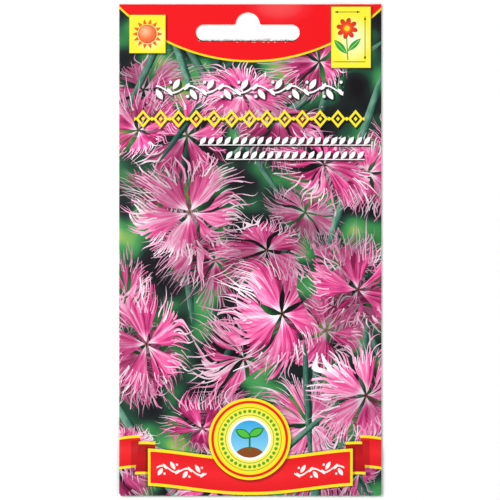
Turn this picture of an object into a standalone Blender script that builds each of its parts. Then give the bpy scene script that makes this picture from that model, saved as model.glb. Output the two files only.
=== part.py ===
"""A paper seed packet with a hang slot, lying on its back.

The packet is an envelope folded from one sheet: a front panel, a back panel, a side flap glued inside the
right edge and a bottom flap folded up and glued outside the back. Its header is glued flat and punched with
a hang slot. Loose seeds lie in its lower half. X is the width, +Y runs to the header, +Z is the front face,
and the origin is the middle of the packet on the surface that it lies on.
"""

import math
import random

import bmesh
import bpy
from mathutils import Matrix, Vector

MM = 0.001

# Driving dimensions of the envelope.
WIDTH = 80.0 * MM
HEIGHT = 150.0 * MM
PAPER = 0.15 * MM
GLUE_GAP = 0.15 * MM
BULGE = 2.0 * MM
HEADER = 20.0 * MM
SIDE_FLAP = 13.0 * MM
BOTTOM_FLAP = 13.0 * MM
BOTTOM_FLAP_TAPER = 6.0 * MM
BACK_EDGE_INSET = 1.4 * MM
STEP_RUN = 3.0 * MM

# The punched hang slot: a round-ended slot with a half-round dome over its middle.
SLOT_WIDTH = 31.7 * MM
SLOT_HEIGHT = 4.9 * MM
SLOT_DOME_RADIUS = 3.7 * MM
SLOT_FOOT_FILLET = 0.6 * MM
SLOT_BOTTOM_DROP = 11.1 * MM
SLOT_SHIFT = -0.8 * MM

# Glue lines, each thinner than the gap that it fills.
GLUE = 0.07 * MM
GLUE_MARGIN = 1.5 * MM
SLOT_GLUE_MARGIN = 0.8 * MM

# One seed, and the heaps that the loose seeds lie in.
SEED_LENGTH = 2.3 * MM
SEED_BREADTH = 1.7 * MM
SEED_THICKNESS = 0.5 * MM
SEED_SIDES = 8
SEEDS_PER_HEAP = 12
SEED_SPACING = 0.72 * MM
SEED_TILT = math.radians(7)
SEED_LIFT = 0.1 * MM
SEAT_GAP = 0.08 * MM
HEAP_COLUMNS = 4
HEAP_ROWS = 2
HEAP_PITCH_X = 13.5 * MM
HEAP_PITCH_Y = 15.0 * MM
HEAP_MIDDLE = (-4.0 * MM, -42.0 * MM)
HEAP_SCATTER = 2.0 * MM
RANDOM_SEED = 11

# Facets of the curved stretches.
FRONT_SEGMENTS = 14
FOLD_SEGMENTS = 4
BOTTOM_FOLD_SEGMENTS = 6
ROUND_SEGMENTS = 10

# Heights of the paper layers, each at the middle of its own thickness.
LAYER = PAPER + GLUE_GAP
FLOOR_LEVEL = PAPER / 2
BOTTOM_FOLD_RADIUS = 1.5 * LAYER
TUBE_BOTTOM = -HEIGHT / 2 + PAPER / 2 + BOTTOM_FOLD_RADIUS
TUBE_TOP = HEIGHT / 2
HEADER_LINE = HEIGHT / 2 - HEADER
BOTTOM_FLAP_EDGE = -HEIGHT / 2 + BOTTOM_FLAP
SIDE_FLAP_EDGE = WIDTH / 2 - SIDE_FLAP
BACK_EDGE = WIDTH / 2 - BACK_EDGE_INSET


def ease(value):
    """0 below 0, 1 above 1, and a smooth step between them."""
    value = min(1.0, max(0.0, value))
    return value * value * (3.0 - 2.0 * value)


def back_level(y):
    """The back panel lies on the floor, and steps up over the bottom flap."""
    return FLOOR_LEVEL + LAYER * (1.0 - ease((y - BOTTOM_FLAP_EDGE) / STEP_RUN))


def side_flap_level(y):
    """The side flap lies on the back panel."""
    return back_level(y) + LAYER


def bulge(x, y):
    """How far the contents push the front panel out of flat."""
    middle = (HEADER_LINE + TUBE_BOTTOM) / 2
    half_length = (HEADER_LINE - TUBE_BOTTOM) / 2
    along = max(0.0, 1.0 - abs((y - middle) / half_length) ** 2.4)
    across = max(0.0, 1.0 - abs(x / (WIDTH / 2)) ** 2.5)
    return BULGE * along * across


def front_level(x, y):
    """The front lies over the side flap, comes down to the back panel in the header, and bulges below it."""
    in_header = ease((y - HEADER_LINE + STEP_RUN) / STEP_RUN)
    off_side_flap = ease((SIDE_FLAP_EDGE - x) / STEP_RUN)
    return back_level(y) + LAYER * (2.0 - in_header * off_side_flap) + bulge(x, y)


def fold_arc(edge, low, high, side):
    """The inner points of a half-round fold at one side edge, from the lower layer up to the higher one."""
    radius = (high - low) / 2
    points = []
    for i in range(1, FOLD_SEGMENTS):
        angle = -math.pi / 2 + math.pi * i / FOLD_SEGMENTS
        x = side * (edge - PAPER / 2 - radius + radius * math.cos(angle))
        points.append((x, low + radius + radius * math.sin(angle)))
    return points


def front_stations(y):
    """Where the front panel has points across its width, from the right fold to the left one."""
    right = WIDTH / 2 - PAPER / 2 - LAYER / 2
    left_radius = (front_level(-WIDTH / 2, y) - back_level(y)) / 2
    left = -(WIDTH / 2 - PAPER / 2 - left_radius)
    shares = [i / FRONT_SEGMENTS for i in range(FRONT_SEGMENTS + 1)]
    for flap_line in (SIDE_FLAP_EDGE, SIDE_FLAP_EDGE - STEP_RUN / 2, SIDE_FLAP_EDGE - STEP_RUN):
        shares.append((WIDTH / 2 - flap_line) / WIDTH)
    return [right + (left - right) * share for share in sorted(shares)]


def tube_section(y):
    """The sheet's own line round the envelope at one height, and the first and last points of its front."""
    low = back_level(y)
    flap = side_flap_level(y)
    right_top = front_level(WIDTH / 2, y)
    left_top = front_level(-WIDTH / 2, y)
    right_fold_x = WIDTH / 2 - PAPER / 2 - (right_top - flap) / 2
    left_fold_x = -(WIDTH / 2 - PAPER / 2 - (left_top - low) / 2)
    line = [(SIDE_FLAP_EDGE, flap), ((SIDE_FLAP_EDGE + right_fold_x) / 2, flap), (right_fold_x, flap)]
    line += fold_arc(WIDTH / 2, flap, right_top, 1)
    first = len(line)
    line += [(x, front_level(x, y)) for x in front_stations(y)]
    last = len(line) - 1
    line += reversed(fold_arc(WIDTH / 2, low, left_top, -1))
    line.append((left_fold_x, low))
    line += [(left_fold_x + (BACK_EDGE - left_fold_x) * i / 6, low) for i in range(1, 7)]
    return line, first, last


def tube_rows():
    """Heights of the rows of points: close together at the steps, the header line and the bottom."""
    rows = [TUBE_BOTTOM, TUBE_BOTTOM + 3.0 * MM, TUBE_BOTTOM + 7.0 * MM]
    rows += [BOTTOM_FLAP_EDGE + STEP_RUN * i / 3 for i in range(4)]
    rows += [-54.0 * MM + 9.0 * MM * i for i in range(11)]
    rows += [44.0 * MM, 49.0 * MM]
    rows += [HEADER_LINE - STEP_RUN + STEP_RUN * i / 3 for i in range(4)]
    rows += [HEADER_LINE + HEADER * i / 3 for i in range(1, 4)]
    return rows


def bottom_flap_line():
    """(distance in y, height, share of the way to the free edge) of the sheet round the bottom fold."""
    top = front_level(0.0, TUBE_BOTTOM)
    line = []
    for i in range(1, BOTTOM_FOLD_SEGMENTS + 1):
        angle = math.pi * i / BOTTOM_FOLD_SEGMENTS
        y = TUBE_BOTTOM - BOTTOM_FOLD_RADIUS * math.sin(angle)
        line.append((y, top - BOTTOM_FOLD_RADIUS + BOTTOM_FOLD_RADIUS * math.cos(angle), 0.0))
    for i in range(1, 4):
        y = TUBE_BOTTOM + (BOTTOM_FLAP_EDGE - TUBE_BOTTOM) * i / 3
        line.append((y, FLOOR_LEVEL, i / 3))
    return line


def sheet_mesh(name):
    """The middle surface of the whole folded sheet, as one grid with the bottom flap grown from its front."""
    mesh = bmesh.new()
    rows = []
    for y in tube_rows():
        section, first, last = tube_section(y)
        rows.append([mesh.verts.new((x, y, z)) for x, z in section])
    for lower, upper in zip(rows, rows[1:]):
        for i in range(len(lower) - 1):
            mesh.faces.new((lower[i], lower[i + 1], upper[i + 1], upper[i]))
    above = rows[0][first:last + 1]
    for y, z, share in bottom_flap_line():
        narrowing = 1.0 - share * BOTTOM_FLAP_TAPER / (WIDTH / 2)
        below = [mesh.verts.new((v.co.x * narrowing, y, z)) for v in rows[0][first:last + 1]]
        for i in range(len(above) - 1):
            mesh.faces.new((below[i], below[i + 1], above[i + 1], above[i]))
        above = below
    return finished(mesh, name)


def finished(mesh, name):
    """A bmesh as an object in the scene, with its faces turned outwards."""
    bmesh.ops.recalc_face_normals(mesh, faces=mesh.faces)
    data = bpy.data.meshes.new(name)
    mesh.to_mesh(data)
    mesh.free()
    made = bpy.data.objects.new(name, data)
    bpy.context.scene.collection.objects.link(made)
    return made


def arc(centre, radius, start, end, segments):
    """Points of an arc, both ends included, with its angles in degrees."""
    points = []
    for i in range(segments + 1):
        angle = math.radians(start + (end - start) * i / segments)
        points.append((centre[0] + radius * math.cos(angle), centre[1] + radius * math.sin(angle)))
    return points


def slot_outline(grow=0.0):
    """The slot's edge, anticlockwise from its lower left, moved outwards by grow."""
    radius = SLOT_HEIGHT / 2
    end_x = SLOT_WIDTH / 2 - radius
    low = HEIGHT / 2 - SLOT_BOTTOM_DROP
    middle = low + radius
    top = low + SLOT_HEIGHT
    reach = SLOT_DOME_RADIUS + SLOT_FOOT_FILLET
    foot_x = math.sqrt(reach ** 2 - SLOT_FOOT_FILLET ** 2)
    foot_angle = math.degrees(math.asin(SLOT_FOOT_FILLET / reach))
    fillet = SLOT_FOOT_FILLET - grow
    points = arc((end_x, middle), radius + grow, -90, 90, ROUND_SEGMENTS)
    if fillet > 0:
        foot = (foot_x, top + SLOT_FOOT_FILLET)
        points += arc(foot, fillet, 270, 180 + foot_angle, 3)
        points += arc((0.0, top), SLOT_DOME_RADIUS + grow, foot_angle, 180 - foot_angle, ROUND_SEGMENTS)[1:]
        points += arc((-foot_x, foot[1]), fillet, -foot_angle, -90, 3)[1:]
    else:
        rise = math.degrees(math.asin(grow / (SLOT_DOME_RADIUS + grow)))
        points += arc((0.0, top), SLOT_DOME_RADIUS + grow, rise, 180 - rise, ROUND_SEGMENTS)
    points += arc((-end_x, middle), radius + grow, 90, 270, ROUND_SEGMENTS)
    return [(x + SLOT_SHIFT, y) for x, y in points]


def slot_cutter(name, grow=0.0):
    """A prism of the slot's outline, longer than the packet is thick. It only cuts."""
    mesh = bmesh.new()
    bottom = mesh.faces.new([mesh.verts.new((x, y, -1.0 * MM)) for x, y in slot_outline(grow)])
    walls = bmesh.ops.extrude_face_region(mesh, geom=[bottom])
    raised = [v for v in walls["geom"] if isinstance(v, bmesh.types.BMVert)]
    bmesh.ops.translate(mesh, vec=(0.0, 0.0, 4.0 * MM), verts=raised)
    cutter = finished(mesh, name)
    cutter.hide_render = True
    cutter.display_type = "WIRE"
    return cutter


def thicken(sheet, thickness):
    """Gives a middle surface its thickness, half to each side."""
    solidify = sheet.modifiers.new("thickness", "SOLIDIFY")
    solidify.thickness = thickness
    solidify.offset = 0.0
    solidify.use_even_offset = True


def cut(solid, cutter):
    """Takes the cutter's shape out of the solid."""
    boolean = solid.modifiers.new("slot", "BOOLEAN")
    boolean.operation = "DIFFERENCE"
    boolean.solver = "EXACT"
    boolean.object = cutter


def glue_line(name, columns, rows, level):
    """A film of set glue between two layers of paper, on a grid of points."""
    mesh = bmesh.new()
    grid = [[mesh.verts.new((x, y, level(y))) for x in columns] for y in rows]
    for lower, upper in zip(grid, grid[1:]):
        for i in range(len(columns) - 1):
            mesh.faces.new((lower[i], lower[i + 1], upper[i + 1], upper[i]))
    film = finished(mesh, name)
    thicken(film, GLUE)
    return film


def seed_template(mesh, place):
    """Adds one flat, pear-shaped seed: a rim with a smaller flat above it and another below."""
    rings = []
    for share, height in ((0.62, -0.5), (1.0, 0.0), (0.5, 0.5)):
        ring = []
        for i in range(SEED_SIDES):
            angle = 2 * math.pi * i / SEED_SIDES
            narrowing = 1.0 - 0.22 * math.cos(angle)
            x = SEED_LENGTH / 2 * share * math.cos(angle)
            y = SEED_BREADTH / 2 * share * narrowing * math.sin(angle)
            ring.append(mesh.verts.new(place @ Vector((x, y, height * SEED_THICKNESS))))
        rings.append(ring)
    mesh.faces.new(list(reversed(rings[0])))
    mesh.faces.new(rings[-1])
    for lower, upper in zip(rings, rings[1:]):
        for i in range(SEED_SIDES):
            j = (i + 1) % SEED_SIDES
            mesh.faces.new((lower[i], lower[j], upper[j], upper[i]))


def seed_object(place, collection):
    """One seed as an object of its own, for the union that makes a heap."""
    mesh = bmesh.new()
    seed_template(mesh, place)
    seed = finished(mesh, "seed")
    bpy.context.scene.collection.objects.unlink(seed)
    collection.objects.link(seed)


def seed_heap(name, centre, draw):
    """Loose seeds that lie on the back panel and on each other, joined where they touch."""
    golden_angle = math.pi * (3.0 - math.sqrt(5.0))
    top_of_back = back_level(centre[1]) + PAPER / 2
    rest = top_of_back + SEAT_GAP + SEED_THICKNESS / 2 + SEED_LENGTH / 2 * math.sin(SEED_TILT)
    others = bpy.data.collections.new(name + "_seeds")
    bpy.context.scene.collection.children.link(others)
    heap = None
    for i in range(SEEDS_PER_HEAP):
        distance = SEED_SPACING * math.sqrt(i)
        angle = i * golden_angle
        x = centre[0] + distance * math.cos(angle)
        y = centre[1] + distance * math.sin(angle)
        lift = draw.uniform(0.0, SEED_LIFT)
        tilt = Matrix.Rotation(draw.uniform(-SEED_TILT, SEED_TILT), 4, "Y")
        turn = Matrix.Rotation(draw.uniform(0.0, 2 * math.pi), 4, "Z")
        place = Matrix.Translation((x, y, rest + lift)) @ turn @ tilt
        if heap is None:
            mesh = bmesh.new()
            seed_template(mesh, place)
            heap = finished(mesh, name)
        else:
            seed_object(place, others)
    join_into(heap, others)
    return heap


def join_into(target, collection):
    """One union of the target with all the collection's objects, which are then removed."""
    union = target.modifiers.new("union", "BOOLEAN")
    union.operation = "UNION"
    union.solver = "EXACT"
    union.operand_type = "COLLECTION"
    union.collection = collection
    bpy.context.view_layer.update()
    graph = bpy.context.evaluated_depsgraph_get()
    joined = bpy.data.meshes.new_from_object(target.evaluated_get(graph))
    target.modifiers.clear()
    target.data = joined
    for other in list(collection.objects):
        bpy.data.objects.remove(other)
    bpy.data.collections.remove(collection)


def material(name, colour, roughness):
    """A plain finish: colour and roughness, no metal."""
    made = bpy.data.materials.new(name)
    made.use_nodes = True
    shader = made.node_tree.nodes["Principled BSDF"]
    shader.inputs["Base Color"].default_value = (*colour, 1.0)
    shader.inputs["Roughness"].default_value = roughness
    shader.inputs["Metallic"].default_value = 0.0
    return made


def clear_scene():
    for old in list(bpy.data.objects):
        bpy.data.objects.remove(old)


def build_envelope(printed_paper):
    envelope = sheet_mesh("envelope")
    thicken(envelope, PAPER)
    cut(envelope, slot_cutter("slot_cutter"))
    envelope.data.materials.append(printed_paper)


def build_glue(glue):
    """The three glue lines: inside the side seam, under the bottom flap and through the header."""
    seam_x = [SIDE_FLAP_EDGE + GLUE_MARGIN, BACK_EDGE - GLUE_MARGIN]
    seam = glue_line("side_seam_glue", seam_x, tube_rows(), lambda y: back_level(y) + LAYER / 2)
    flap_half = WIDTH / 2 - BOTTOM_FLAP_TAPER - GLUE_MARGIN
    flap_y = [TUBE_BOTTOM + GLUE_MARGIN, BOTTOM_FLAP_EDGE - GLUE_MARGIN]
    flap = glue_line("bottom_flap_glue", [-flap_half, flap_half], flap_y, lambda y: FLOOR_LEVEL + LAYER / 2)
    header_x = [-WIDTH / 2 + GLUE_MARGIN, SIDE_FLAP_EDGE - STEP_RUN - GLUE_MARGIN]
    header_y = [HEADER_LINE + GLUE_MARGIN, TUBE_TOP - GLUE_MARGIN / 2]
    header = glue_line("header_glue", header_x, header_y, lambda y: FLOOR_LEVEL + LAYER / 2)
    cut(header, slot_cutter("header_glue_cutter", SLOT_GLUE_MARGIN))
    for film in (seam, flap, header):
        film.data.materials.append(glue)


def build_seeds(seed_coat):
    """Heaps of seeds on a loose grid over the lower half of the packet."""
    draw = random.Random(RANDOM_SEED)
    number = 0
    for row in range(HEAP_ROWS):
        for column in range(HEAP_COLUMNS):
            number += 1
            x = HEAP_MIDDLE[0] + HEAP_PITCH_X * (column - (HEAP_COLUMNS - 1) / 2)
            y = HEAP_MIDDLE[1] + HEAP_PITCH_Y * (row - (HEAP_ROWS - 1) / 2)
            x += draw.uniform(-HEAP_SCATTER, HEAP_SCATTER)
            y += draw.uniform(-HEAP_SCATTER, HEAP_SCATTER)
            heap = seed_heap(f"seeds_{number:02d}", (x, y), draw)
            heap.data.materials.clear()
            heap.data.materials.append(seed_coat)


def build_packet():
    clear_scene()
    build_envelope(material("printed_paper", (0.72, 0.14, 0.28), 0.35))
    build_glue(material("set_glue", (0.85, 0.82, 0.72), 0.4))
    build_seeds(material("seed_coat", (0.02, 0.017, 0.015), 0.7))


build_packet()
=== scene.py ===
# %% [markdown]
# # A paper seed packet
# The object is a flat paper envelope of flower seeds with a printed front and a hang slot. The packed model
# holds its true solids: a folded sheet, three glue lines and heaps of seeds. This file dresses them. It
# loads that model as a fixed frame first, so every surface made here lies where the solid ones are.

# %% Load the frame
import math
import random

import bpy
import numpy as np
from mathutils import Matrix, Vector


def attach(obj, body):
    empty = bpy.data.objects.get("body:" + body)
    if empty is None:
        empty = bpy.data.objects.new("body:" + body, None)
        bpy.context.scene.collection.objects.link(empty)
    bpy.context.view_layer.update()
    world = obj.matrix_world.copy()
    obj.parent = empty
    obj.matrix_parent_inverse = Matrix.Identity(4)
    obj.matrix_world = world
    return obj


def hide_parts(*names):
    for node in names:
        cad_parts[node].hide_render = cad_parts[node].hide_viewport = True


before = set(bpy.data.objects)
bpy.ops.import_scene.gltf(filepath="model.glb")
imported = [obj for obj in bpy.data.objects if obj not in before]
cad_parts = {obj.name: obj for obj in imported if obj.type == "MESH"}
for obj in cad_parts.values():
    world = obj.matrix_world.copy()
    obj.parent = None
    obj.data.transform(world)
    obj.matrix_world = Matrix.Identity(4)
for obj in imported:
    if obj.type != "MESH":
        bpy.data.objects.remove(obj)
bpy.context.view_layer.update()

MM = 0.001
print("nodes in the frame:", sorted(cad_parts))

# %% [markdown]
# ## The packet's own sizes
# A folded packet is one sheet, so its whole shape follows from a few numbers: how wide and high it is, how
# thick the paper is, how far apart its layers lie, and where the flaps and the glued header end. The bulge
# is what the seeds do to the front. They are the same numbers as in the solid model, so the fine paper
# lands on the plain one.

# %% Sizes
WIDTH, HEIGHT = 80 * MM, 150 * MM
PAPER = 0.15 * MM
LAYER = 0.30 * MM
BULGE = 2.0 * MM
HEADER_LINE = 55 * MM
SIDE_FLAP_EDGE = 27 * MM
BOTTOM_FLAP_EDGE = -62 * MM
BOTTOM_FLAP_TAPER = 6 * MM
BACK_EDGE = 38.6 * MM
STEP_RUN = 3 * MM
FLOOR_LEVEL = PAPER / 2
FOLD_RADIUS = 1.5 * LAYER
TUBE_BOTTOM = -HEIGHT / 2 + PAPER / 2 + FOLD_RADIUS
SLOT_WIDTH, SLOT_HEIGHT = 31.7 * MM, 4.9 * MM
SLOT_DOME, SLOT_FILLET = 3.7 * MM, 0.6 * MM
SLOT_STRAIGHT = SLOT_WIDTH / 2 - SLOT_HEIGHT / 2
SLOT_LOW = HEIGHT / 2 - 11.1 * MM
SLOT_SHIFT = -0.8 * MM
print(f"packet {WIDTH / MM:.0f} x {HEIGHT / MM:.0f} mm, paper {PAPER / MM:.2f} mm")

# %% [markdown]
# ## How high each layer lies
# Paper lies flat where it is glued and swells where it is loose. Each layer's height is a formula of x and
# y, built from one smooth step. A real front isn't a perfect pillow either: it has shallow buckles, a soft
# crease where the glued header starts, and creases that run in from the side folds. A few low waves give
# those, and they fade out towards every edge so that the folds stay straight.

# %% Layer heights


def ease(value):
    """0 below 0, 1 above 1, and a smooth step between, for numbers or arrays."""
    value = np.clip(value, 0.0, 1.0)
    return value * value * (3.0 - 2.0 * value)


def back_level(y):
    return FLOOR_LEVEL + LAYER * (1.0 - ease((y - BOTTOM_FLAP_EDGE) / STEP_RUN))


def swelling(x, y):
    """1 over the fullest part of the pocket and 0 at its edges."""
    middle, half = (HEADER_LINE + TUBE_BOTTOM) / 2, (HEADER_LINE - TUBE_BOTTOM) / 2
    along = np.clip(1.0 - np.abs((y - middle) / half) ** 2.4, 0.0, None)
    across = np.clip(1.0 - np.abs(x / (WIDTH / 2)) ** 2.5, 0.0, None)
    return along * across


def buckles(x, y):
    """Shallow waves of the loose front: long ones everywhere, and short creases near the sides and header."""
    u, v = x / (10 * MM), y / (10 * MM)
    long_waves = np.sin(0.9 * u + 0.5 * v + 0.7) * np.sin(0.55 * v - 0.35 * u + 1.9)
    side = np.abs(x) / (WIDTH / 2)
    creases = np.sin(2.3 * v + 1.7 * np.sin(0.8 * u)) * ease((side - 0.55) / 0.3) * ease((1.0 - side) / 0.12)
    puckers = np.sin(2.9 * u + 0.8) * ease((y - 38 * MM) / (10 * MM)) * ease((HEADER_LINE - y) / (5 * MM))
    return (0.16 * long_waves + 0.07 * creases + 0.06 * puckers) * MM * swelling(x, y) ** 0.5


def front_level(x, y):
    in_header = ease((y - HEADER_LINE + STEP_RUN) / STEP_RUN)
    off_flap = ease((SIDE_FLAP_EDGE - x) / STEP_RUN)
    flat = back_level(y) + LAYER * (2.0 - in_header * off_flap)
    return flat + BULGE * swelling(x, y) + buckles(x, y)


sample_x = np.linspace(-WIDTH / 2, WIDTH / 2, 81)[:, None]
sample_y = np.linspace(TUBE_BOTTOM, HEIGHT / 2, 146)[None, :]
print(f"front rises to {front_level(sample_x, sample_y).max() / MM:.2f} mm")

# %% [markdown]
# ## The folded sheet
# The packet could be two flat panels, but then its edges would be open. A real one is a single sheet that
# goes round: side flap, right fold, front, left fold, back. So one cross-section line is walked in that
# order, and the line is repeated up the packet as the rows of a grid. The bottom flap grows from the
# front's lowest row, round the bottom fold, and up under the back.

# %% Walk round the sheet
FLAP_STEPS, ARC_STEPS, FRONT_STEPS, BACK_STEPS = 12, 8, 100, 50


def spread(start, stop, steps):
    """Points from start towards stop, without the last one."""
    return start + (stop - start) * np.arange(steps) / steps


def section(y):
    """x and z of the sheet's line at one height."""
    low, flap = back_level(y), back_level(y) + LAYER
    right_top, left_top = front_level(WIDTH / 2, y), front_level(-WIDTH / 2, y)
    right_radius, left_radius = (right_top - flap) / 2, (left_top - low) / 2
    right_x, left_x = WIDTH / 2 - PAPER / 2 - right_radius, -(WIDTH / 2 - PAPER / 2 - left_radius)
    turn = spread(-math.pi / 2, math.pi / 2, ARC_STEPS)
    back_turn = spread(math.pi / 2, 3 * math.pi / 2, ARC_STEPS)
    front_x = spread(right_x, left_x, FRONT_STEPS)
    back_x = np.linspace(left_x, BACK_EDGE, BACK_STEPS + 1)
    x = [spread(SIDE_FLAP_EDGE, right_x, FLAP_STEPS), right_x + right_radius * np.cos(turn), front_x]
    x += [left_x + left_radius * np.cos(back_turn), back_x]
    z = [np.full(FLAP_STEPS, flap), flap + right_radius * (1 + np.sin(turn)), front_level(front_x, y)]
    z += [low + left_radius * (1 + np.sin(back_turn)), np.full(BACK_STEPS + 1, low)]
    return np.concatenate(x), np.concatenate(z)


FRONT_FIRST = FLAP_STEPS + ARC_STEPS
FRONT_LAST = FRONT_FIRST + FRONT_STEPS
rows_y = np.concatenate([
    spread(TUBE_BOTTOM, BOTTOM_FLAP_EDGE, 16),
    spread(BOTTOM_FLAP_EDGE, BOTTOM_FLAP_EDGE + STEP_RUN, 6),
    spread(BOTTOM_FLAP_EDGE + STEP_RUN, HEADER_LINE - STEP_RUN, 110),
    spread(HEADER_LINE - STEP_RUN, HEADER_LINE, 8),
    np.linspace(HEADER_LINE, HEIGHT / 2, 21),
])
print(f"{len(section(0.0)[0])} points round the sheet, {len(rows_y)} rows up it")

# %% [markdown]
# Each face remembers which side of the packet it prints: the front and its folds carry the picture, the
# back and the flaps carry the back's design. Solidify then gives the sheet its thickness, and shifts the
# inner faces and the cut edges on by two material slots, which both hold bare paper, as a print is only on
# the outer side.

# %% Points and faces of the sheet
FRONT_PRINT, BACK_PRINT, BARE, BARE_BACK = range(4)
FOLD_STEPS, TUCK_STEPS = 10, 13


def sheet_data():
    """Points, faces and each face's print for the whole sheet's middle surface."""
    points, faces, prints = [], [], []
    for y in rows_y:
        x, z = section(y)
        points += [(one_x, y, one_z) for one_x, one_z in zip(x, z)]
    across = len(points) // len(rows_y)
    for row in range(len(rows_y) - 1):
        for i in range(across - 1):
            low, high = row * across + i, (row + 1) * across + i
            faces.append((low, high, high + 1, low + 1))
            on_front = FLAP_STEPS + ARC_STEPS // 2 <= i < FRONT_LAST + ARC_STEPS // 2
            prints.append(FRONT_PRINT if on_front else BACK_PRINT)
    above = list(range(FRONT_FIRST, FRONT_LAST + 1))
    edge_x = np.array([points[i][0] for i in above])
    edge_z = np.array([points[i][2] for i in above])
    for turn in np.linspace(0, math.pi, FOLD_STEPS + 1)[1:]:
        y = TUBE_BOTTOM - FOLD_RADIUS * math.sin(turn)
        z = edge_z - FOLD_RADIUS * (1 - math.cos(turn))
        above = add_flap_row(points, faces, above, edge_x, y, z)
        prints += [FRONT_PRINT if turn < math.pi / 2 else BACK_PRINT] * (len(above) - 1)
    for share in np.linspace(0, 1, TUCK_STEPS + 1)[1:]:
        y = TUBE_BOTTOM + (BOTTOM_FLAP_EDGE - TUBE_BOTTOM) * share
        narrowed = edge_x * (1 - share * BOTTOM_FLAP_TAPER / (WIDTH / 2))
        above = add_flap_row(points, faces, above, narrowed, y, np.full(len(above), FLOOR_LEVEL))
        prints += [BACK_PRINT] * (len(above) - 1)
    return points, faces, prints


def add_flap_row(points, faces, above, x, y, z):
    below = list(range(len(points), len(points) + len(above)))
    points += [(one_x, y, one_z) for one_x, one_z in zip(x, z)]
    faces += [(below[i], above[i], above[i + 1], below[i + 1]) for i in range(len(above) - 1)]
    return below


points, faces, prints = sheet_data()
print(f"{len(points)} points, and {prints.count(FRONT_PRINT)} of {len(faces)} faces print the front")

# %% Build the sheet
PAPER_SLOTS = 4


def new_object(name, points, faces):
    mesh = bpy.data.meshes.new(name)
    mesh.from_pydata([tuple(map(float, point)) for point in points], [], faces)
    made = bpy.data.objects.new(name, mesh)
    bpy.context.scene.collection.objects.link(made)
    return made


def add_slots(thing):
    """Empty material slots, to be filled once the finishes are made."""
    for _ in range(PAPER_SLOTS):
        thing.data.materials.append(None)


paper = new_object("folded_paper", points, faces)
paper.data.polygons.foreach_set("material_index", prints)
print(f"{paper.name}: {len(paper.data.vertices)} vertices in its middle surface")

# %% [markdown]
# ## The hang slot
# The slot is punched through the glued header, so it is cut with a prism of its outline. A punch leaves the
# lower edge ragged on a worn packet: the top layer tears back a little and shows a fine pale line of the
# layer below. So a second, shallower cutter takes a wavy strip off the top layer only, along the straight
# part of that edge.

# %% The slot's outline


def arc(centre, radius, start, end, steps):
    angles = np.radians(np.linspace(start, end, steps + 1))
    return [(centre[0] + radius * math.cos(angle), centre[1] + radius * math.sin(angle)) for angle in angles]


def slot_outline():
    """The slot's edge, anticlockwise from the right end of its lower side."""
    radius = SLOT_HEIGHT / 2
    end_x, middle, top = SLOT_WIDTH / 2 - radius, SLOT_LOW + radius, SLOT_LOW + SLOT_HEIGHT
    reach = SLOT_DOME + SLOT_FILLET
    foot_x = math.sqrt(reach ** 2 - SLOT_FILLET ** 2)
    foot = math.degrees(math.asin(SLOT_FILLET / reach))
    line = arc((end_x, middle), radius, -90, 90, 20)
    line += arc((foot_x, top + SLOT_FILLET), SLOT_FILLET, 270, 180 + foot, 5)
    line += arc((0, top), SLOT_DOME, foot, 180 - foot, 24)[1:]
    line += arc((-foot_x, top + SLOT_FILLET), SLOT_FILLET, -foot, -90, 5)[1:]
    line += arc((-end_x, middle), radius, 90, 270, 20)
    return [(x + SLOT_SHIFT, y) for x, y in line]


print(f"the slot's outline has {len(slot_outline())} points")

# %% Slot cutters
TEAR_STEPS, TEAR_FADE = 110, 9


def torn_outline():
    """A strip along the straight part of the slot's lower edge, whose own lower side is ragged."""
    draw = random.Random(5)
    line = []
    for i in range(TEAR_STEPS + 1):
        x = -SLOT_STRAIGHT + 2 * SLOT_STRAIGHT * i / TEAR_STEPS
        fade = float(ease(min(i, TEAR_STEPS - i) / TEAR_FADE))
        wave = 0.10 + 0.05 * math.sin(i * 0.31) + 0.03 * math.sin(i * 0.83 + 1)
        tear = wave + draw.uniform(-0.03, 0.03)
        line.append((x + SLOT_SHIFT, SLOT_LOW - tear * fade * MM))
    upper = SLOT_LOW + 1.5 * MM
    return line + [(SLOT_STRAIGHT + SLOT_SHIFT, upper), (-SLOT_STRAIGHT + SLOT_SHIFT, upper)]


def prism(name, outline, low, high):
    """A closed prism that only cuts. Its faces carry the bare-paper slot, so the cut edges do too."""
    count = len(outline)
    corners = [(x, y, low) for x, y in outline] + [(x, y, high) for x, y in outline]
    walls = [(i, (i + 1) % count, count + (i + 1) % count, count + i) for i in range(count)]
    ends = [tuple(reversed(range(count))), tuple(range(count, 2 * count))]
    cutter = new_object(name, corners, ends + walls)
    cutter.data.polygons.foreach_set("material_index", [BARE] * (count + 2))
    add_slots(cutter)
    return cutter


punch = prism("slot_punch", slot_outline(), -1 * MM, 3 * MM)
tear = prism("slot_tear", torn_outline(), FLOOR_LEVEL + LAYER / 2, 3 * MM)
print(f"slot {SLOT_WIDTH / MM:.1f} x {SLOT_HEIGHT / MM:.1f} mm with a dome of radius {SLOT_DOME / MM:.1f} mm")

# %% [markdown]
# The modifiers are applied here, because the next step lays out a map for the finished faces, and a map
# made before the thickness would miss half of them. The cutters have done their work by then and are taken
# away.

# %% Give the paper its thickness and cut it


def applied(thing):
    """Puts what the modifiers make into the object's own mesh."""
    graph = bpy.context.evaluated_depsgraph_get()
    made = bpy.data.meshes.new_from_object(thing.evaluated_get(graph))
    thing.modifiers.clear()
    thing.data = made


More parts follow.
